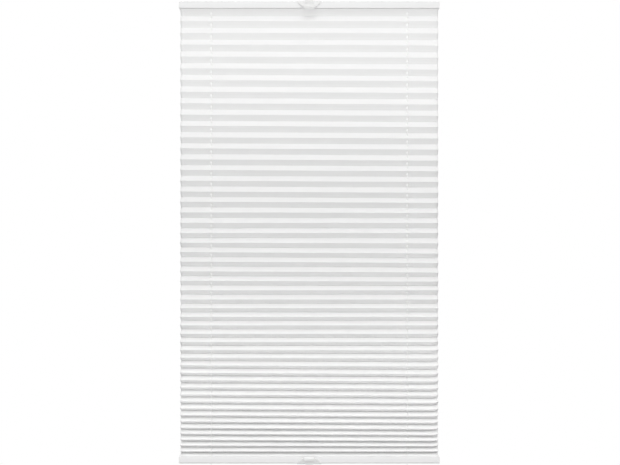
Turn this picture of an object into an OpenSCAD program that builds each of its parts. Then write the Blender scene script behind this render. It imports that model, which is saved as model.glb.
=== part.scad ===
// Pleated blind held under tension: a folded cloth between two rails that slide on two cords.
// X runs along the rails, Y from front to back, and Z up. The origin is the middle of the upper
// fixing plane, halfway between the two upper tension shoes.

/* [Size] */
// Length of each rail over its end caps
rail_l = 732; // [660:1:1000]
// Clear height between the two rails
drop = 1258; // [1100:1:1380]
// Distance between the two tension cords
cord_span = 552; // [440:1:580]

/* [Cloth] */
// Number of pleats between the rails
pleats = 49; // [47:1:56]
// Height of one face of a pleat, from fold to fold
pleat_face = 20; // [19:0.5:24]
// How much taller the highest pleat stands than the lowest
stretch = 2.28; // [1:0.01:2.4]
// How late the pleats start to close on the way down, 1 for an even change
stretch_curve = 1.28; // [1:0.01:1.5]
// Thickness of the cloth
cloth_t = 0.4; // [0.3:0.05:0.5]
// Distance of the cloth's side edges from the rail ends
cloth_inset = 3.5; // [2:0.5:8]

/* [Rails] */
// Height of a rail
rail_h = 21; // [20:0.5:23]
// Depth of a rail from front to back, at the cloth
rail_d = 23; // [22:0.5:26]
// Lean of the front and back faces over the rail's height
rail_lean = 2; // [1:0.25:2.5]
// Radius of the rail's outer edges
rail_round = 8.5; // [8:0.25:9]
// Thickness of the rail's walls
rail_wall = 1.2; // [1:0.1:1.4]
// Thickness of an end cap outside the rail
cap_t = 2.5; // [1.5:0.5:4]

/* [Handles] */
// Width of a handle over its wings
handle_w = 68; // [50:1:90]
// Width of the finger hollow and the tab in the middle of a handle
tab_w = 24; // [18:1:30]
// How far the tab reaches past the rail
tab_reach = 14; // [8:1:18]
// How far the hood of a handle stands out from the rail
hood_out = 13; // [11:0.5:14]

/* [Cords and shoes] */
// Radius of a tension cord
cord_r = 0.6; // [0.4:0.1:0.8]
// Height of a tension shoe
shoe_h = 16; // [15:0.5:20]
// Gap between a shoe and the rail
shoe_gap = 10; // [5:0.5:14]
// Radius of the screw hole in a shoe
screw_r = 2.1; // [1.6:0.1:2.4]
// Distance from a cord to the screw beside it
screw_offset = 14; // [13:0.5:20]

/* [Hidden] */
$fn = 48;

// Heights of the rails' inner edges, which face the cloth, and of the lower fixing plane
top_edge_z = -shoe_h - shoe_gap - rail_h;
bottom_edge_z = top_edge_z - drop;
lower_plane_z = bottom_edge_z - rail_h - shoe_gap - shoe_h;

// Clearance between two pieces that are fitted together
fit = 0.15;
// How far a cut runs out past the face that it opens
over = 1;
// Steps of an arc that rounds a corner
corner_steps = 6;

// Chambers of a rail, measured from its inner edge: the lower takes the strip, the upper the cords
lip_t = 1.4;
lip_gap = 11;
strip_chamber_h = 5.8;
strip_chamber_d = rail_d - 4;
web_t = 1.4;
rail_edge_r = 0.8;
chamber_edge_r = 0.6;
cord_chamber_z = lip_t + strip_chamber_h + web_t;
plug_l = 10;

// The strip that holds an end of the cloth in a slit
strip_h = 5.2;
strip_slit = 1.4;
strip_slit_h = 4;

// Cord guides, and the runs of cord that cross between them
guide_l = 20;
guide_d = 11.6;
guide_h = 8;
guide_hole_r = 1.2;
spigot_r = 2.3;
crossing_y = 3;
crossing_z = cord_chamber_z + guide_h / 2;
crossing_depth = 5;
crossing_hole_r = cord_r + 2 * fit;
cord_way_r = 1.8;

// Tension shoe: a foot with a screw hole, and a barrel that holds the cord's end
foot_r = 8;
foot_t = 4;
screw_head_r = 4.2;
countersink_h = 2;
barrel_r = 7.5;
barrel_round = 2.5;
shoe_floor = 3;
chamber_r = 4.6;
chamber_h = shoe_h - shoe_floor;

// Ferrule on a cord's end, and the spring below the cord's lower end
ferrule_r = 3.6;
ferrule_flange_t = 1.2;
ferrule_sleeve_r = 1.8;
ferrule_h = 4.2;
crimp_gap = 0.1;
spring_h = 8;
spring_r = 3.3;
spring_wire_r = 0.45;
spring_turns = 4;
spring_steps = 20;
spring_sides = 6;

// Cloth: where the pleating starts and ends, and how far the ends reach into the strips
first_ridge_gap = 2;
last_ridge_gap = 1;
cloth_tuck = 5;
cloth_turn = 0.3;
cloth_hole_r = 1.7;
cloth_w = rail_l - 2 * cloth_inset;

// Handle: a cover clipped over the rail, and wings that rise from their feet to a hood in the middle
front_y = -rail_d / 2;
clip_t = 1.6;
clip_grip = 1.4;
clip_back = 1;
cover_round = rail_round + 1;
wing_h = 15;
wing_round = 3;
wing_foot_r = 1.5;
crest_out = 9;
hood_w = tab_w + 4;
hood_hang = 3;
hood_crest = 1;
hood_lip = 8.5;
hood_top_lean = 2.5;
hood_lip_lean = 2;
hood_round = 5;
hood_edge_r = 1.5;

// Middle of a handle: a hollow for the finger under the hood, and a tab that flares out
hollow_slope = 1;
hollow_r = 0.8;
tab_waist_out = 2;
tab_tip_out = 8.5;
tab_t = 2.5;
tab_bend_r = 8;
tab_root_r = 3;
tab_tip_r = 1;

function unit(v) = v / norm(v);
function flat(p) = [p.x, p.y];

// Arc that rounds the corner at b, between the neighbours a and c, with radius r
function corner(a, b, c, r) =
    let (
        to_a = unit(a - b),
        to_c = unit(c - b),
        half = acos(to_a * to_c) / 2,
        centre = b + unit(to_a + to_c) * r / sin(half),
        first = b + to_a * r / tan(half) - centre,
        last = b + to_c * r / tan(half) - centre,
        start = atan2(first.y, first.x),
        turn = atan2(first.x * last.y - first.y * last.x, first * last)
    )
    [for (i = [0 : corner_steps])
        centre + r * [cos(start + turn * i / corner_steps), sin(start + turn * i / corner_steps)]];

// Outline from corners given as [across, up, radius]
function rounded(p) =
    [for (i = [0 : len(p) - 1])
        each p[i].z > 0
            ? corner(flat(p[(i + len(p) - 1) % len(p)]), flat(p[i]), flat(p[(i + 1) % len(p)]), p[i].z)
            : [flat(p[i])]];

// Height of pleat i from ridge to ridge: the weight below stretches the upper pleats further
function pleat_share(i) = stretch - (stretch - 1) * pow(i / (pleats - 1), stretch_curve);
share_sum = [for (i = [0 : pleats - 1]) pleat_share(i)] * [for (i = [0 : pleats - 1]) 1];
pleated_h = drop - first_ridge_gap - last_ridge_gap;
function pitch(i) = pleated_h * pleat_share(i) / share_sum;

// Half the depth of the fold at a stretch of cloth with this pitch
function half_depth(p) = sqrt(pleat_face * pleat_face - p * p / 4) / 2;
function ridge_pitch(i) = (pitch(max(i - 1, 0)) + pitch(min(i, pleats - 1))) / 2;

ridge_z = [
    for (i = 0, z = top_edge_z - first_ridge_gap; i <= pleats; z = z - pitch(i), i = i + 1) z
];

// The cloth's middle line as [y, z]: from the top strip, down the pleats, to the bottom strip
cloth_line = concat(
    [[0, top_edge_z + cloth_tuck], [0, top_edge_z + cloth_turn]],
    [for (i = [0 : pleats - 1]) each [
        [-half_depth(ridge_pitch(i)), ridge_z[i]],
        [half_depth(pitch(i)), ridge_z[i] - pitch(i) / 2]
    ]],
    [
        [-half_depth(ridge_pitch(pleats)), ridge_z[pleats]],
        [0, bottom_edge_z - cloth_turn],
        [0, bottom_edge_z - cloth_tuck]
    ]
);

// Mitre vector at point i of a path, one unit of thickness to its left
function left_of(v) = unit([-v.y, v.x]);
function mitre(path, i) =
    let (
        before = left_of(path[max(i, 1)] - path[max(i, 1) - 1]),
        after = left_of(path[min(i, len(path) - 2) + 1] - path[min(i, len(path) - 2)])
    )
    (before + after) / (1 + before * after);

// Outline of a sheet of thickness t along a path
function sheet(path, t) = concat(
    [for (i = [0 : len(path) - 1]) path[i] + mitre(path, i) * t / 2],
    [for (i = [len(path) - 1 : -1 : 0]) path[i] - mitre(path, i) * t / 2]
);

// Outer outline of a rail as [y, height above its inner edge], grown by g
function rail_outline(g) = rounded([
    [-rail_d / 2 - g, -g, rail_edge_r + g],
    [rail_d / 2 + g, -g, rail_edge_r + g],
    [rail_d / 2 - rail_lean + g, rail_h + g, rail_round + g],
    [-rail_d / 2 + rail_lean - g, rail_h + g, rail_round + g]
]);

// Outline of the upper chamber of a rail, shrunk by g
function cord_chamber(g) =
    let (
        lean = rail_lean * cord_chamber_z / rail_h,
        low = rail_d / 2 - lean - rail_wall - g,
        high = rail_d / 2 - rail_lean - rail_wall - g
    )
    rounded([
        [-low, cord_chamber_z + g, chamber_edge_r],
        [low, cord_chamber_z + g, chamber_edge_r],
        [high, rail_h - rail_wall - g, rail_round - rail_wall],
        [-high, rail_h - rail_wall - g, rail_round - rail_wall]
    ]);

// Stands a drawing in [y, z] upright and gives it a length along X, about the middle
module along_x(length) {
    rotate([90, 0, 90])
        translate([0, 0, -length / 2])
            linear_extrude(length)
                children();
}

// Places a piece that is drawn upwards from a rail's inner edge
module on_top() {
    translate([0, 0, top_edge_z])
        children();
}

module on_bottom() {
    translate([0, 0, bottom_edge_z])
        mirror([0, 0, 1])
            children();
}

// Places a piece that hangs from the upper fixing plane, turned over at the lower one
module at_upper_plane() {
    children();
}

module at_lower_plane() {
    translate([0, 0, lower_plane_z])
        mirror([0, 0, 1])
            children();
}

// Places a piece at a cord
module at_right_cord() {
    translate([cord_span / 2, 0, 0])
        children();
}

module at_left_cord() {
    mirror([1, 0, 0])
        at_right_cord()
            children();
}

// Extruded rail: a closed chamber for the cords, and a slotted one for the strip
module rail_shape() {
    difference() {
        along_x(rail_l - 2 * cap_t)
            difference() {
                polygon(rail_outline(0));
                polygon(cord_chamber(0));
                translate([-strip_chamber_d / 2, lip_t])
                    square([strip_chamber_d, strip_chamber_h]);
                translate([-lip_gap / 2, -over])
                    square([lip_gap, lip_t + 2 * over]);
            }
        for (side = [-1, 1])
            translate([side * cord_span / 2, 0, 0]) {
                cylinder(r = cord_way_r, h = rail_h / 2);
                translate([0, 0, rail_h / 2])
                    cylinder(r = spigot_r + fit, h = rail_h);
            }
    }
}

// End cap on the right: a plate over the rail's end, and a plug in the upper chamber
module cap_shape() {
    translate([rail_l / 2 - cap_t / 2, 0, 0])
        along_x(cap_t)
            polygon(rail_outline(0));
    translate([rail_l / 2 - cap_t - plug_l / 2, 0, 0])
        along_x(plug_l + 2 * fit)
            polygon(cord_chamber(fit));
}

// Strip in the rail's slot, with a slit for the cloth and a hole at each cord
module strip_shape() {
    difference() {
        along_x(rail_l - 2 * cap_t - 2 * fit)
            difference() {
                translate([-strip_chamber_d / 2 + fit, lip_t + fit])
                    square([strip_chamber_d - 2 * fit, strip_h]);
                translate([-strip_slit / 2, 0])
                    square([strip_slit, lip_t + fit + strip_slit_h]);
            }
        for (side = [-1, 1])
            translate([side * cord_span / 2, 0, 0])
                cylinder(r = cord_way_r, h = rail_h);
    }
}

// Cord guide at the right cord: a block in the upper chamber, with a spigot through the rail
module guide_shape() {
    difference() {
        union() {
            translate([-guide_l / 2, -guide_d / 2, cord_chamber_z + fit])
                cube([guide_l, guide_d, guide_h]);
            translate([0, 0, cord_chamber_z + guide_h / 2])
                cylinder(r = spigot_r, h = rail_h - cord_chamber_z - guide_h / 2);
        }
        cylinder(r = guide_hole_r, h = 2 * rail_h);
        for (side = [-1, 1])
            translate([-guide_l, side * crossing_y, crossing_z])
                rotate([0, 90, 0])
                    cylinder(r = crossing_hole_r, h = guide_l / 2 + crossing_depth);
    }
}

// The two runs of cord that cross the rail from guide to guide
module crossing_shape() {
    run = cord_span - guide_l + 2 * (crossing_depth - fit);
    for (side = [-1, 1])
        translate([-run / 2, side * crossing_y, crossing_z])
            rotate([0, 90, 0])
                cylinder(r = cord_r, h = run);
}

// Section through a handle's cover: thin over the rail's front, with a clip at each edge
module cover_section() {
    polygon(rounded([
        [front_y + clip_grip, -clip_t, 0],
        [front_y - clip_t, -clip_t, rail_edge_r],
        [front_y + rail_lean - clip_t, rail_h + clip_t, cover_round],
        [-clip_back, rail_h + clip_t, 0],
        [-clip_back, rail_h / 2, 0],
        [front_y + clip_grip, rail_h / 2, 0]
    ]));
}

// Section through the hood, which overhangs the cloth a little and curves forward
module hood_section() {
    polygon(rounded([
        [front_y - clip_t, -hood_hang, 0],
        [front_y - hood_out + hood_top_lean, -hood_hang, hood_edge_r],
        [front_y - hood_out, hood_crest, hood_round],
        [front_y - hood_out + hood_lip_lean, hood_lip, 0],
        [front_y - clip_t, hood_lip, 0]
    ]));
}

// Section through the crest from which both wings slope away
module crest_section() {
    translate([front_y - crest_out, -clip_t])
        square([crest_out, clip_t + hood_crest]);
}

// Section through the finger hollow, which is cut into the wings under the hood
module hollow_section() {
    polygon(rounded([
        [front_y - hood_out - over, hood_lip, 0],
        [front_y - tab_waist_out, hood_lip + hollow_slope, hollow_r],
        [front_y - tab_waist_out, rail_h + 2 * clip_t, 0],
        [front_y - hood_out - over, rail_h + 2 * clip_t, 0]
    ]));
}

// Section through the tab: the floor of the hollow, flared out to a tip past the rail
module tab_section() {
    tip = rail_h + tab_reach;
    polygon(rounded([
        [front_y, hood_lip + hollow_slope, 0],
        [front_y - tab_waist_out, hood_lip + hollow_slope, 0],
        [front_y - tab_waist_out, rail_h, tab_bend_r],
        [front_y - tab_tip_out, tip, tab_tip_r],
        [front_y - tab_tip_out + tab_t, tip, tab_tip_r],
        [front_y - tab_waist_out + tab_t, rail_h + clip_t, tab_root_r],
        [-clip_back, rail_h + clip_t, 0],
        [-clip_back, rail_h / 2, 0],
        [front_y, rail_h / 2, 0]
    ]));
}

// Outline of the wings' feet from the front as [x, height above the rail's inner edge]
module wing_outline() {
    polygon(rounded([
        [-handle_w / 2, rail_h + clip_t, wing_foot_r],
        [handle_w / 2, rail_h + clip_t, wing_foot_r],
        [handle_w / 2, wing_h, wing_round],
        [-handle_w / 2, wing_h, wing_round]
    ]));
}

// Finger handle, moulded in one piece and clipped over the front of a rail
module handle_shape() {
    difference() {
        union() {
            along_x(hood_w) {
                cover_section();
                hood_section();
            }
            difference() {
                hull() {
                    intersection() {
                        along_x(handle_w)
                            cover_section();
                        rotate([90, 0, 0])
                            linear_extrude(rail_d)
                                wing_outline();
                    }
                    along_x(hood_w)
                        crest_section();
                }
                along_x(tab_w)
                    hollow_section();
            }
            along_x(tab_w)
                tab_section();
        }
        along_x(handle_w + 2 * over)
            polygon(rail_outline(fit));
    }
}

// Tension shoe at the right cord, hanging from the fixing plane
module shoe_shape() {
    difference() {
        union() {
            translate([0, -foot_r, -foot_t])
                cube([screw_offset, 2 * foot_r, foot_t]);
            for (x = [0, screw_offset])
                translate([x, 0, -foot_t])
                    cylinder(r = foot_r, h = foot_t);
            rotate_extrude()
                polygon(rounded([
                    [0, 0, 0],
                    [barrel_r, 0, 0],
                    [barrel_r, -shoe_h, barrel_round],
                    [0, -shoe_h, 0]
                ]));
        }
        translate([0, 0, -chamber_h])
            cylinder(r = chamber_r, h = shoe_h);
        translate([0, 0, -2 * shoe_h])
            cylinder(r = guide_hole_r, h = 2 * shoe_h);
        translate([screw_offset, 0, -foot_t - over]) {
            cylinder(r = screw_r, h = foot_t + 2 * over);
            translate([0, 0, over])
                cylinder(r1 = screw_head_r, r2 = screw_r, h = countersink_h);
        }
    }
}

// Ferrule with its flange down
module ferrule_shape() {
    rotate_extrude()
        polygon([
            [cord_r + crimp_gap, 0],
            [ferrule_r, 0],
            [ferrule_r, ferrule_flange_t],
            [ferrule_sleeve_r, ferrule_flange_t],
            [ferrule_sleeve_r, ferrule_h],
            [cord_r + crimp_gap, ferrule_h]
        ]);
}

// Compression spring standing on the floor of a shoe's chamber
module spring_shape() {
    rings = spring_turns * spring_steps;
    rise = spring_h - 2 * spring_wire_r - 2 * fit;
    points = [
        for (i = [0 : rings])
            let (a = 360 * i / spring_steps, z = spring_wire_r + fit + rise * i / rings)
            for (j = [0 : spring_sides - 1])
                let (b = 360 * j / spring_sides, r = spring_r + spring_wire_r * cos(b))
                [r * cos(a), r * sin(a), z + spring_wire_r * sin(b)]
    ];
    sides = [
        for (i = [0 : rings - 1])
            for (j = [0 : spring_sides - 1])
                let (k = (j + 1) % spring_sides, low = i * spring_sides, high = low + spring_sides)
                each [[low + j, high + k, low + k], [low + j, high + j, high + k]]
    ];
    first_end = [for (j = [0 : spring_sides - 1]) j];
    last_end = [for (j = [spring_sides - 1 : -1 : 0]) rings * spring_sides + j];
    polyhedron(points, concat(sides, [first_end, last_end]));
}

// Upright run of a tension cord, from ferrule to ferrule
module cord_shape() {
    top_z = -chamber_h + ferrule_h;
    bottom_z = lower_plane_z + chamber_h - spring_h - ferrule_h;
    translate([0, 0, bottom_z])
        cylinder(r = cord_r, h = top_z - bottom_z);
}

// Pleated cloth in one sheet, with a row of cord holes at each cord
module pleated_fabric() {
    color("white")
        difference() {
            along_x(cloth_w)
                polygon(sheet(cloth_line, cloth_t));
            for (side = [-1, 1])
                translate([side * cord_span / 2, 0, bottom_edge_z - rail_h])
                    cylinder(r = cloth_hole_r, h = drop + 2 * rail_h, $fn = 8);
        }
}

module top_left_shoe() { color("whitesmoke") at_upper_plane() at_left_cord() shoe_shape(); }
module top_right_shoe() { color("whitesmoke") at_upper_plane() at_right_cord() shoe_shape(); }
module bottom_left_shoe() { color("whitesmoke") at_lower_plane() at_left_cord() shoe_shape(); }
module bottom_right_shoe() { color("whitesmoke") at_lower_plane() at_right_cord() shoe_shape(); }

module upper_ferrule() { translate([0, 0, -chamber_h]) ferrule_shape(); }
module lower_ferrule() { translate([0, 0, -chamber_h + spring_h]) ferrule_shape(); }
module top_left_ferrule() { color("silver") at_upper_plane() at_left_cord() upper_ferrule(); }
module top_right_ferrule() { color("silver") at_upper_plane() at_right_cord() upper_ferrule(); }
module bottom_left_ferrule() { color("silver") at_lower_plane() at_left_cord() lower_ferrule(); }
module bottom_right_ferrule() { color("silver") at_lower_plane() at_right_cord() lower_ferrule(); }

module seated_spring() { translate([0, 0, -chamber_h]) spring_shape(); }
module left_spring() { color("gray") at_lower_plane() at_left_cord() seated_spring(); }
module right_spring() { color("gray") at_lower_plane() at_right_cord() seated_spring(); }

module left_cord() { color("white") at_left_cord() cord_shape(); }
module right_cord() { color("white") at_right_cord() cord_shape(); }

module top_rail() { color("white") on_top() rail_shape(); }
module top_left_cap() { color("whitesmoke") on_top() mirror([1, 0, 0]) cap_shape(); }
module top_right_cap() { color("whitesmoke") on_top() cap_shape(); }
module top_fabric_strip() { color("gainsboro") on_top() strip_shape(); }
module top_left_guide() { color("gainsboro") on_top() at_left_cord() guide_shape(); }
module top_right_guide() { color("gainsboro") on_top() at_right_cord() guide_shape(); }
module top_crossing_cords() { color("white") on_top() crossing_shape(); }
module top_handle() { color("whitesmoke") on_top() handle_shape(); }

module bottom_rail() { color("white") on_bottom() rail_shape(); }
module bottom_left_cap() { color("whitesmoke") on_bottom() mirror([1, 0, 0]) cap_shape(); }
module bottom_right_cap() { color("whitesmoke") on_bottom() cap_shape(); }
module bottom_fabric_strip() { color("gainsboro") on_bottom() strip_shape(); }
module bottom_left_guide() { color("gainsboro") on_bottom() at_left_cord() guide_shape(); }
module bottom_right_guide() { color("gainsboro") on_bottom() at_right_cord() guide_shape(); }
module bottom_crossing_cords() { color("white") on_bottom() crossing_shape(); }
module bottom_handle() { color("whitesmoke") on_bottom() handle_shape(); }

top_left_shoe();
top_right_shoe();
bottom_left_shoe();
bottom_right_shoe();
top_left_ferrule();
top_right_ferrule();
bottom_left_ferrule();
bottom_right_ferrule();
left_spring();
right_spring();
left_cord();
right_cord();
pleated_fabric();
top_rail();
top_left_cap();
top_right_cap();
top_fabric_strip();
top_left_guide();
top_right_guide();
top_crossing_cords();
top_handle();
bottom_rail();
bottom_left_cap();
bottom_right_cap();
bottom_fabric_strip();
bottom_left_guide();
bottom_right_guide();
bottom_crossing_cords();
bottom_handle();
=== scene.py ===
"""Looks of a pleated blind: a folded white cloth between two rails that slide on two tight cords."""

import math
import random

import bmesh
import bpy
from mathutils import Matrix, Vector


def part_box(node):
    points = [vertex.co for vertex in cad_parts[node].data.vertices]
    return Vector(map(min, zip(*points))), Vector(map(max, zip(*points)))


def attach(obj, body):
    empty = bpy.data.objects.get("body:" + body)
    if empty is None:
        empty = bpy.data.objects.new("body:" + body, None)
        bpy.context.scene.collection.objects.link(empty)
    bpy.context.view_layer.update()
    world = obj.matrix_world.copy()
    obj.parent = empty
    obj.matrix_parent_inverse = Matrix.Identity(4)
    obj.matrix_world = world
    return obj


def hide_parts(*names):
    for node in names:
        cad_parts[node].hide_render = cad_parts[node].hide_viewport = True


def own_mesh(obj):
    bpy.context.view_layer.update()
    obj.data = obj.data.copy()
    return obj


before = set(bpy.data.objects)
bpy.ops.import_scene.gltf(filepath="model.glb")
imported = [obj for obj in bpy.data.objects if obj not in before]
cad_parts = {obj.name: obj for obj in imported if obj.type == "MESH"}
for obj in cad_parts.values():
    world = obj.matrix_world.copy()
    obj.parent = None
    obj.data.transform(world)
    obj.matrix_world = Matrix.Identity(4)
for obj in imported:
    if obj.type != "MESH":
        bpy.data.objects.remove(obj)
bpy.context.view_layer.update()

# Camera: it stands square in front of the blind, level with its middle. The photograph's frame is
# 620 pixels wide, and one pixel covers 2.8 mm at the front of the rails.
FRAME_PIXELS = 620
PIXEL = 0.002802
VIEW_DISTANCE = 2.2
CAMERA_X = 0.0021
CAMERA_Z = -0.676
camera_data = bpy.data.cameras.new("camera")
camera_data.sensor_width = 36
camera_data.lens = camera_data.sensor_width * VIEW_DISTANCE / (FRAME_PIXELS * PIXEL)
camera = bpy.data.objects.new("camera", camera_data)
camera.location = (CAMERA_X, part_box("top_rail")[0].y - VIEW_DISTANCE, CAMERA_Z)
camera.rotation_euler = (math.pi / 2, 0, 0)
bpy.context.scene.collection.objects.link(camera)
bpy.context.scene.camera = camera


# Tension cords: two braided polyester cords, 1.2 mm thick, that run straight up through the holes in
# the cloth and through both rails. Each end is crimped into a ferrule that sits in a tension shoe.
CORD_X = 0.276
CORD_RADIUS = 0.0006
CORD_TOP = -0.0088
CORD_BOTTOM = -1.3512
CORD_STEPS = 32
CORD_SIDES = 12
BRAID_STRANDS = 4
BRAID_PITCH = 0.0022


def add_node(owner, kind, inputs, **settings):
    """A new shader node of a material or world, with each input linked to a socket or set to a value."""
    node = owner.node_tree.nodes.new(kind)
    for name, value in settings.items():
        setattr(node, name, value)
    for name, value in inputs.items():
        if isinstance(value, bpy.types.NodeSocket):
            owner.node_tree.links.new(value, node.inputs[name])
        else:
            node.inputs[name].default_value = value
    return node


def new_surface(name, roughness):
    """A material and its main shader."""
    material = bpy.data.materials.new(name)
    material.use_nodes = True
    shader = material.node_tree.nodes["Principled BSDF"]
    shader.inputs["Roughness"].default_value = roughness
    return material, shader


def tinted(material, where, scale, dark, light):
    """A colour that drifts softly between two shades over the surface."""
    drift = add_node(
        material, "ShaderNodeTexNoise", {"Vector": where, "Scale": scale, "Detail": 3.0}
    )
    shade = add_node(material, "ShaderNodeMix", {"Factor": drift.outputs["Fac"]}, data_type="RGBA")
    # Sockets 6 and 7 take the two colours, and output 2 is the mixed colour
    shade.inputs[6].default_value = (*dark, 1)
    shade.inputs[7].default_value = (*light, 1)
    return shade.outputs[2]


def bumped(material, shader, height, strength, distance):
    """Fine relief on a surface."""
    bump = add_node(
        material,
        "ShaderNodeBump",
        {"Height": height, "Strength": strength, "Distance": distance},
    )
    material.node_tree.links.new(bump.outputs["Normal"], shader.inputs["Normal"])


def braided_cord():
    """White polyester whose strands wind both ways round the cord."""
    material, shader = new_surface("braided_cord", roughness=0.5)
    shader.inputs["Sheen Weight"].default_value = 0.4
    where = add_node(material, "ShaderNodeTexCoord", {}).outputs["Object"]
    place = add_node(material, "ShaderNodeSeparateXYZ", {"Vector": where})
    side = add_node(material, "ShaderNodeMath", {0: place.outputs["X"]}, operation="ABSOLUTE")
    across = add_node(
        material, "ShaderNodeMath", {0: side.outputs[0], 1: CORD_X}, operation="SUBTRACT"
    )
    turn = add_node(
        material,
        "ShaderNodeMath",
        {0: place.outputs["Y"], 1: across.outputs[0]},
        operation="ARCTAN2",
    )
    strand = add_node(
        material, "ShaderNodeMath", {0: turn.outputs[0], 1: BRAID_STRANDS}, operation="MULTIPLY"
    )
    along = add_node(
        material,
        "ShaderNodeMath",
        {0: place.outputs["Z"], 1: 2 * math.pi / BRAID_PITCH},
        operation="MULTIPLY",
    )
    waves = []
    for operation in ("ADD", "SUBTRACT"):
        phase = add_node(
            material,
            "ShaderNodeMath",
            {0: strand.outputs[0], 1: along.outputs[0]},
            operation=operation,
        )
        waves.append(add_node(material, "ShaderNodeMath", {0: phase.outputs[0]}, operation="SINE"))
    braid = add_node(
        material,
        "ShaderNodeMath",
        {0: waves[0].outputs[0], 1: waves[1].outputs[0]},
        operation="MAXIMUM",
    )
    bumped(material, shader, braid.outputs[0], strength=0.5, distance=0.00008)
    colour = tinted(
        material, where, scale=900, dark=(0.945, 0.945, 0.94), light=(0.975, 0.975, 0.97)
    )
    material.node_tree.links.new(colour, shader.inputs["Base Color"])
    return material


def shown_mesh(name, shape, material, body):
    """An object at the origin that carries a finished mesh and rides on a body."""
    mesh = bpy.data.meshes.new(name)
    shape.to_mesh(mesh)
    shape.free()
    mesh.materials.append(material)
    piece = bpy.data.objects.new(name, mesh)
    bpy.context.scene.collection.objects.link(piece)
    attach(piece, body)
    return piece


def smoothed(piece, angle):
    """Smooth shading, broken at edges sharper than an angle in degrees."""
    for face in piece.data.polygons:
        face.use_smooth = True
    piece.data.set_sharp_from_angle(angle=math.radians(angle))


def place_in_cord(point):
    """A number that grows down a cord and round it."""
    way = (CORD_TOP - point.z) / (CORD_TOP - CORD_BOTTOM)
    turn = math.atan2(point.y, abs(point.x) - CORD_X) / (2 * math.pi)
    return round(2 * CORD_STEPS * way) + turn


cord_finish = braided_cord()
for side, x in (("left", -CORD_X), ("right", CORD_X)):
    step = (CORD_BOTTOM - CORD_TOP) / CORD_STEPS
    tube = bmesh.new()
    bmesh.ops.create_circle(tube, cap_ends=True, segments=CORD_SIDES, radius=CORD_RADIUS)
    bmesh.ops.translate(tube, verts=tube.verts, vec=(x, 0, CORD_TOP))
    ring = list(tube.faces)
    for _ in range(CORD_STEPS):
        grown = bmesh.ops.extrude_face_region(tube, geom=ring, use_keep_orig=False)["geom"]
        bmesh.ops.translate(
            tube,
            verts=[part for part in grown if isinstance(part, bmesh.types.BMVert)],
            vec=(0, 0, step),
        )
        ring = [part for part in grown if isinstance(part, bmesh.types.BMFace)]
    bmesh.ops.recalc_face_normals(tube, faces=tube.faces)
    # The extrusion's own order changes from run to run
    tube.verts.sort(key=lambda vertex: place_in_cord(vertex.co))
    tube.faces.sort(key=lambda face: place_in_cord(face.calc_center_median()))
    cord = shown_mesh(f"{side}_tension_cord", tube, cord_finish, "fixings")
    smoothed(cord, angle=40)
    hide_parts(f"{side}_cord")


# Tension shoes: four small white mouldings screwed to the window frame. Each has a flat foot with a
# countersunk screw hole, and a barrel whose hollow takes a cord's end.
SHOE_ROUNDING = 0.0004
SAME_POINT = 1e-6
FLAT_ANGLE = math.radians(1)
SHARP_ANGLE = math.radians(30)


def moulded(node, body, material, rounding, name):
    """A copy of a CAD node as a moulding: whole faces, and sharp edges rounded."""
    shape = bmesh.new()
    shape.from_mesh(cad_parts[node].data)
    bmesh.ops.remove_doubles(shape, verts=shape.verts, dist=SAME_POINT)
    bmesh.ops.dissolve_limit(
        shape, angle_limit=FLAT_ANGLE, verts=shape.verts, edges=shape.edges
    )
    sharp = [
        edge for edge in shape.edges if edge.is_manifold and edge.calc_face_angle() > SHARP_ANGLE
    ]
    bmesh.ops.bevel(
        shape,
        geom=sharp,
        offset=rounding,
        offset_type="OFFSET",
        affect="EDGES",
        segments=2,
        profile=0.5,
        material=-1,
        clamp_overlap=True,
    )
    piece = shown_mesh(name, shape, material, body)
    smoothed(piece, angle=35)
    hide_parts(node)


def white_moulding(name, dark, light, roughness):
    """Satin white plastic with the faint grain of a mould."""
    material, shader = new_surface(name, roughness)
    where = add_node(material, "ShaderNodeTexCoord", {}).outputs["Object"]
    grain = add_node(
        material, "ShaderNodeTexNoise", {"Vector": where, "Scale": 1800.0, "Detail": 2.0}
    )
    bumped(material, shader, grain.outputs["Fac"], strength=0.12, distance=0.00005)
    colour = tinted(material, where, scale=60, dark=dark, light=light)
    material.node_tree.links.new(colour, shader.inputs["Base Color"])
    return material


moulding = white_moulding(
    "white_moulding", dark=(0.80, 0.80, 0.795), light=(0.83, 0.83, 0.825), roughness=0.38
)
CORNERS = [f"{end}_{side}" for end in ("top", "bottom") for side in ("left", "right")]
for corner in CORNERS:
    moulded(
        f"{corner}_shoe", "fixings", moulding, SHOE_ROUNDING, f"{corner}_tension_shoe"
    )


# Ferrules and springs: an aluminium sleeve crimped on each end of a cord, and below the lower two a
# small steel compression spring that keeps the cord tight. They sit inside the shoes.
FERRULE_ROUNDING = 0.0001
METAL_SHADE = 0.86


def bare_metal(name, colour, roughness, grain_scale):
    """Uncoated metal with a fine grain."""
    material, shader = new_surface(name, roughness)
    shader.inputs["Metallic"].default_value = 1.0
    where = add_node(material, "ShaderNodeTexCoord", {}).outputs["Object"]
    grain = add_node(
        material, "ShaderNodeTexNoise", {"Vector": where, "Scale": grain_scale, "Detail": 3.0}
    )
    bumped(material, shader, grain.outputs["Fac"], strength=0.2, distance=0.00004)
    darker = tuple(METAL_SHADE * part for part in colour)
    shade = tinted(material, where, scale=grain_scale / 4, dark=darker, light=colour)
    material.node_tree.links.new(shade, shader.inputs["Base Color"])
    return material


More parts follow.
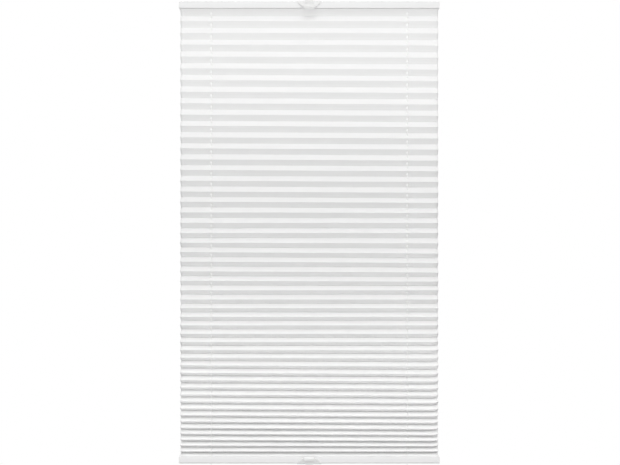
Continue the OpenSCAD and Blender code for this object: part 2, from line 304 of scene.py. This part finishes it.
ferrule_metal = bare_metal(
    "crimped_aluminium", colour=(0.78, 0.79, 0.80), roughness=0.35, grain_scale=1600.0
)
spring_metal = bare_metal(
    "spring_wire", colour=(0.64, 0.64, 0.65), roughness=0.25, grain_scale=2400.0
)
for corner in CORNERS:
    moulded(
        f"{corner}_ferrule", "fixings", ferrule_metal, FERRULE_ROUNDING, f"{corner}_sleeve"
    )
for side in ("left", "right"):
    coil = bmesh.new()
    coil.from_mesh(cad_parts[f"{side}_spring"].data)
    bmesh.ops.remove_doubles(coil, verts=coil.verts, dist=SAME_POINT)
    spring = shown_mesh(f"{side}_coil_spring", coil, spring_metal, "fixings")
    smoothed(spring, angle=70)
    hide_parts(f"{side}_spring")


# Cloth: one sheet of thin white polyester with pleats set by heat, pushed into a strip in each rail.
# Its own weight opens the upper pleats further. It is made in two pieces that meet in a back fold
# near the middle.
CLOTH_WIDTH = 0.725
CLOTH_THICKNESS = 0.0004
CLOTH_TUCK = 0.005
CLOTH_TURN = 0.0003
LIGHT_THROUGH = 0.15
PLEATS = 49
PLEAT_FACE = 0.020
STRETCH = 2.28
STRETCH_CURVE = 1.28
FIRST_RIDGE_GAP = 0.0008
FIRST_RIDGE_FORWARD = 0.0041
LAST_RIDGE_GAP = 0.0005
FOLD_ROUNDING = 0.0009
HOLE_ACROSS = 0.0021
HOLE_ALONG = 0.0032
HOLE_MARGIN = 0.0017
HOLE_CORNER = 0.3
UNEVENNESS = 0.0002

# Ways down from the top rail where a lean or curl of the cloth starts, is full, fades, and ends
LEAN = 0.0036
LEANING = ((0.02, 0.14, 0.52, 0.62), (0.64, 0.68, 0.74, 0.80), (0.94, 1.02, 1.20, 1.25))
CURL = 0.0026
CURLING = (0.86, 1.01, 1.23, 1.255)
CURL_WIDTH = 0.018

# Places across half the cloth that get a column of points, from its middle and from its end
MIDDLE_COLUMNS = (0.05, 0.1, 0.15, 0.2, 0.24, 0.31)
END_COLUMNS = (0.018, 0.012, 0.006, 0)

top_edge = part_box("top_rail")[0].z
bottom_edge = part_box("bottom_rail")[1].z
shares = [STRETCH - (STRETCH - 1) * (i / (PLEATS - 1)) ** STRETCH_CURVE for i in range(PLEATS)]
pleated_height = top_edge - bottom_edge - FIRST_RIDGE_GAP - LAST_RIDGE_GAP
pitches = [pleated_height * share / sum(shares) for share in shares]


def half_depth(pitch):
    """How far a fold stands in front of or behind the cords."""
    return math.sqrt(PLEAT_FACE**2 - pitch**2 / 4) / 2


# Folds as (y, z), from the strip in the top rail down to the strip in the bottom rail
uneven = random.Random(11)
folds = [(0, top_edge + CLOTH_TUCK), (0, top_edge + CLOTH_TURN)]
ridge_z = top_edge - FIRST_RIDGE_GAP
for i in range(PLEATS + 1):
    above = pitches[max(i - 1, 0)]
    below = pitches[min(i, PLEATS - 1)]
    shift = uneven.uniform(-UNEVENNESS, UNEVENNESS) if 0 < i < PLEATS else 0
    forward = FIRST_RIDGE_FORWARD if i == 0 else abs(shift)
    folds.append((-half_depth((above + below) / 2) - forward, ridge_z + 2 * shift))
    if i < PLEATS:
        folds.append((half_depth(below) - abs(shift), ridge_z - below / 2 + shift))
        ridge_z -= below
folds += [(0, bottom_edge - CLOTH_TURN), (0, bottom_edge - CLOTH_TUCK)]

# The back fold nearest the middle, where the two pieces meet
middle_z = (top_edge + bottom_edge) / 2
split = min(range(3, len(folds) - 3, 2), key=lambda k: abs(folds[k][1] - middle_z))


def ramp(value, start, end):
    """A smooth rise from 0 to 1 between two values."""
    t = min(max((value - start) / (end - start), 0), 1)
    return t * t * (3 - 2 * t)


def hung(x, y, z):
    """Where a point of the cloth hangs: a little lower on the right, and curled at the lower right."""
    down = top_edge - z
    lean = sum(ramp(down, a, b) * (1 - ramp(down, c, d)) for a, b, c, d in LEANING)
    start, full, fading, end = CURLING
    near_end = max(0, (x - CLOTH_WIDTH / 2 + CURL_WIDTH) / CURL_WIDTH)
    curl = ramp(down, start, full) * near_end**2 * (1 - ramp(down, fading, end))
    return x, y, z - LEAN * lean * x / CLOTH_WIDTH + CURL * curl


def between(a, b, share):
    """A point that lies a share of the way from one point to another."""
    return tuple(p + (q - p) * share for p, q in zip(a, b))


def face_place(k, stop):
    """The (y, z) at a distance along the face below fold k, with the fold at either end rounded."""
    length = math.dist(folds[k], folds[k + 1])
    corner, off = (k, stop) if stop <= length / 2 else (k + 1, stop - length)
    if abs(off) >= FOLD_ROUNDING or corner in (0, len(folds) - 1):
        return between(folds[k], folds[k + 1], stop / length)
    before = math.dist(folds[corner - 1], folds[corner])
    after = math.dist(folds[corner], folds[corner + 1])
    start = between(folds[corner], folds[corner - 1], FOLD_ROUNDING / before)
    end = between(folds[corner], folds[corner + 1], FOLD_ROUNDING / after)
    t = (off + FOLD_ROUNDING) / (2 * FOLD_ROUNDING)
    return between(between(start, folds[corner], t), between(folds[corner], end, t), t)


def fold_rows(first, last):
    """Rows of the cloth between two folds, as (way along the cloth, (y, z), place in a hole)."""
    rows = []
    way = 0
    for k in range(first, last):
        here, there = folds[k], folds[k + 1]
        length = math.dist(here, there)
        stops = [(0, None)]
        if k > 0:
            stops += [(FOLD_ROUNDING / 2, None), (FOLD_ROUNDING, None)]
        if length > PLEAT_FACE / 2 and here[0] * there[0] < 0:
            crossing = abs(here[0]) / (abs(here[0]) + abs(there[0])) * length
            stops += [(crossing - HOLE_ALONG - HOLE_MARGIN, None), (crossing - HOLE_ALONG, -1)]
            stops += [(crossing, 0), (crossing + HOLE_ALONG, 1)]
            stops += [(crossing + HOLE_ALONG + HOLE_MARGIN, None)]
        if k + 1 < len(folds) - 1:
            stops += [(length - FOLD_ROUNDING, None), (length - FOLD_ROUNDING / 2, None)]
        rows += [(way + stop, face_place(k, stop), hole) for stop, hole in stops]
        way += length
    rows.append((way, face_place(last - 1, length), None))
    return rows


def cloth_columns():
    """Places across the cloth, as (x, place in a hole): closer at the ends and at the cords."""
    half = CLOTH_WIDTH / 2
    places = {0.0: None}
    for x in (*MIDDLE_COLUMNS, *(half - step for step in END_COLUMNS)):
        places[x] = None
        places[-x] = None
    for cord_x in (-CORD_X, CORD_X):
        for offset, hole in ((-1, -1), (0, 0), (1, 1)):
            places[cord_x + offset * HOLE_ACROSS] = hole
        for offset in (-1, 1):
            places[cord_x + offset * (HOLE_ACROSS + HOLE_MARGIN)] = None
    return sorted(places.items())


def cloth_mesh(first, last):
    """A flat sheet with cord holes, folded from one fold to another."""
    rows = fold_rows(first, last)
    columns = cloth_columns()
    across, along = len(columns) - 1, len(rows) - 1
    sheet = bmesh.new()
    bmesh.ops.create_grid(sheet, x_segments=across, y_segments=along, size=0.5)
    flat = sheet.loops.layers.uv.new("cut")
    holes = []
    places = {}
    for vertex in sheet.verts:
        x, at_x = columns[round((vertex.co.x + 0.5) * across)]
        way, (y, z), at_way = rows[round((0.5 - vertex.co.y) * along)]
        if at_x == 0 and at_way == 0:
            holes.append(vertex)
        if at_x in (-1, 1) and at_way in (-1, 1):
            x -= at_x * HOLE_ACROSS * HOLE_CORNER
        places[vertex] = (x, way)
        vertex.co = hung(x, y, z)
    for face in sheet.faces:
        for loop in face.loops:
            loop[flat].uv = places[loop.vert]
    bmesh.ops.delete(sheet, geom=holes, context="VERTS")
    bmesh.ops.recalc_face_normals(sheet, faces=sheet.faces)
    return sheet, rows[-1][0]


def white_cloth():
    """Matt white polyester in a plain weave, which lets a little light through."""
    material, shader = new_surface("pleated_cloth", roughness=0.8)
    shader.inputs["Sheen Weight"].default_value = 0.1
    cut = add_node(material, "ShaderNodeUVMap", {}, uv_map="cut").outputs["UV"]
    threads = []
    for direction, scale in (("X", 700.0), ("Y", 560.0)):
        thread = add_node(
            material,
            "ShaderNodeTexWave",
            {"Vector": cut, "Scale": scale},
            wave_type="BANDS",
            bands_direction=direction,
        )
        threads.append(thread.outputs["Fac"])
    weave = add_node(
        material, "ShaderNodeMath", {0: threads[0], 1: threads[1]}, operation="MULTIPLY"
    )
    bumped(material, shader, weave.outputs[0], strength=0.15, distance=0.00008)
    colour = tinted(
        material, cut, scale=25, dark=(0.935, 0.935, 0.933), light=(0.955, 0.955, 0.953)
    )
    material.node_tree.links.new(colour, shader.inputs["Base Color"])
    through = add_node(material, "ShaderNodeBsdfTranslucent", {"Color": colour})
    mixed = add_node(material, "ShaderNodeMixShader", {0: LIGHT_THROUGH})
    links = material.node_tree.links
    output = material.node_tree.nodes["Material Output"]
    links.new(shader.outputs["BSDF"], mixed.inputs[1])
    links.new(through.outputs["BSDF"], mixed.inputs[2])
    links.new(mixed.outputs["Shader"], output.inputs["Surface"])
    return material


cloth_finish = white_cloth()
for half, end, first, last, end_ridge, rail_edge in (
    ("upper", "top", 0, split, folds[2], top_edge),
    ("lower", "bottom", split, len(folds) - 1, folds[-3], bottom_edge),
):
    sheet, cut_length = cloth_mesh(first, last)
    cloth = shown_mesh(f"{half}_cloth", sheet, cloth_finish, "fixings")
    smoothed(cloth, angle=60)
    thickness = cloth.modifiers.new("thickness", "SOLIDIFY")
    thickness.thickness = CLOTH_THICKNESS
    thickness.offset = 0
    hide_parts("pleated_fabric")
    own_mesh(cloth)


# Rails: the same aluminium extrusion at the top and at the bottom, powder coated white. A chamber
# inside takes the cords that cross over, and a slot at its inner edge takes the strip with the cloth.
RAIL_ENDS = (("top", "upper_rail"), ("bottom", "lower_rail"))
RAIL_ROUNDING = 0.0002


def powder_coat():
    """White powder coat with the faint waves of baked paint."""
    material, shader = new_surface("white_powder_coat", roughness=0.42)
    where = add_node(material, "ShaderNodeTexCoord", {}).outputs["Object"]
    peel = add_node(
        material, "ShaderNodeTexNoise", {"Vector": where, "Scale": 900.0, "Detail": 2.0}
    )
    bumped(material, shader, peel.outputs["Fac"], strength=0.15, distance=0.00006)
    colour = tinted(material, where, scale=40, dark=(0.81, 0.81, 0.81), light=(0.83, 0.83, 0.83))
    material.node_tree.links.new(colour, shader.inputs["Base Color"])
    return material


coat = powder_coat()
for end, body in RAIL_ENDS:
    moulded(f"{end}_rail", body, coat, RAIL_ROUNDING, f"{end}_extrusion")


# Inside the rails: a plastic strip grips the cloth's end in its slit, two guides turn the cords, and
# the cords cross over from guide to guide, which keeps the rail level.
STRIP_ROUNDING = 0.0002
RUN_ROUNDING = 0.0001
GUIDE_ROUNDING = 0.0003
inner_plastic = white_moulding(
    "strip_plastic", dark=(0.80, 0.80, 0.79), light=(0.85, 0.85, 0.84), roughness=0.5
)
for end, body in RAIL_ENDS:
    moulded(
        f"{end}_fabric_strip", body, inner_plastic, STRIP_ROUNDING, f"{end}_cloth_strip"
    )
    moulded(f"{end}_crossing_cords", body, cord_finish, RUN_ROUNDING, f"{end}_cord_runs")
    for corner in (f"{end}_left", f"{end}_right"):
        moulded(
            f"{corner}_guide",
            body,
            inner_plastic,
            GUIDE_ROUNDING,
            f"{corner}_cord_guide",
        )


# End caps: white mouldings that close both ends of each rail. A plug on the inner side is pushed into
# the rail's chamber and holds the cap there.
CAP_ROUNDING = 0.0005
for end, body in RAIL_ENDS:
    for corner in (f"{end}_left", f"{end}_right"):
        moulded(f"{corner}_cap", body, moulding, CAP_ROUNDING, f"{corner}_end_cap")


# Handles: one white moulding on each rail, clipped over its front. Two wings rise to a hood that
# overhangs a hollow for the finger, and a flared tab reaches past the rail.
HANDLE_ROUNDING = 0.0006
for end, body in RAIL_ENDS:
    moulded(f"{end}_handle", body, moulding, HANDLE_ROUNDING, f"{end}_finger_handle")


# Floor: a plain pale square, painted matt, that lies well below the blind and outside the
# photograph's frame.
FLOOR_HALF = 0.6
FLOOR_Z = -2.25
floor_paint, floor_shader = new_surface("floor_paint", roughness=0.9)
floor_place = add_node(floor_paint, "ShaderNodeTexCoord", {}).outputs["Object"]
floor_colour = tinted(
    floor_paint, floor_place, scale=3, dark=(0.72, 0.72, 0.72), light=(0.75, 0.75, 0.75)
)
floor_paint.node_tree.links.new(floor_colour, floor_shader.inputs["Base Color"])
ground = bmesh.new()
bmesh.ops.create_grid(ground, x_segments=1, y_segments=1, size=FLOOR_HALF)
bmesh.ops.translate(ground, verts=ground.verts, vec=(0, 0, FLOOR_Z))
floor_mesh = bpy.data.meshes.new("floor")
ground.to_mesh(floor_mesh)
ground.free()
floor_mesh.materials.append(floor_paint)
floor = bpy.data.objects.new("floor", floor_mesh)
bpy.context.scene.collection.objects.link(floor)


# Light: an even white surround with soft bright patches high and low, in front, behind and beside. Two
# narrow soft lamps in front brighten the highest and the lowest pleats a little.
SURROUND = 0.13
PATCHES = (
    ((0, -0.707, 0.707), 4.05),
    ((0, -0.707, -0.707), 2.15),
    ((0, 0.707, 0.707), 4.0),
    ((0, 0.707, -0.707), 1.8),
    ((0.98, 0, 0.2), 1.5),
    ((-0.98, 0, 0.2), 1.5),
)
PATCH_SHARPNESS = 10
LAMP_LENGTH = 1.6
LAMP_HEIGHT = 0.3
world = bpy.data.worlds.new("studio")
world.use_nodes = True
bpy.context.scene.world = world
background = world.node_tree.nodes["Background"]
outward = add_node(world, "ShaderNodeTexCoord", {}).outputs["Generated"]
light_sum = SURROUND
for direction, brightness in PATCHES:
    facing = add_node(
        world, "ShaderNodeVectorMath", {0: outward, 1: direction}, operation="DOT_PRODUCT"
    )
    inside = add_node(
        world, "ShaderNodeMath", {0: facing.outputs["Value"], 1: 0.0}, operation="MAXIMUM"
    )
    patch = add_node(
        world, "ShaderNodeMath", {0: inside.outputs[0], 1: PATCH_SHARPNESS}, operation="POWER"
    )
    total = add_node(
        world,
        "ShaderNodeMath",
        {0: patch.outputs[0], 1: brightness, 2: light_sum},
        operation="MULTIPLY_ADD",
    )
    light_sum = total.outputs[0]

# The camera, reflections and clear things see plain white
light_path = add_node(world, "ShaderNodeLightPath", {})
seen = light_path.outputs["Is Camera Ray"]
for ray in ("Is Glossy Ray", "Is Transmission Ray"):
    either = add_node(
        world, "ShaderNodeMath", {0: seen, 1: light_path.outputs[ray]}, operation="MAXIMUM"
    )
    seen = either.outputs[0]
strength = add_node(world, "ShaderNodeMix", {0: seen, 2: light_sum, 3: 1.0}, data_type="FLOAT")
background.inputs["Color"].default_value = (1, 1, 1, 1)
world.node_tree.links.new(strength.outputs[0], background.inputs["Strength"])


def soft_light(name, place, aim, spread, power):
    """A long narrow lamp that points at a place, with its spread in degrees."""
    lamp = bpy.data.lights.new(name, "AREA")
    lamp.shape = "RECTANGLE"
    lamp.size = LAMP_LENGTH
    lamp.size_y = LAMP_HEIGHT
    lamp.spread = math.radians(spread)
    lamp.energy = power
    light = bpy.data.objects.new(name, lamp)
    light.location = place
    light.rotation_euler = (Vector(aim) - Vector(place)).to_track_quat("-Z", "Y").to_euler()
    bpy.context.scene.collection.objects.link(light)


soft_light("upper_lamp", place=(0, -0.8, -0.65), aim=(0, 0, 0), spread=60, power=0.42)
soft_light("lower_lamp", place=(0, -0.8, -0.4), aim=(0, 0, -1.35), spread=40, power=0.38)

bpy.context.scene.view_settings.view_transform = "Standard"
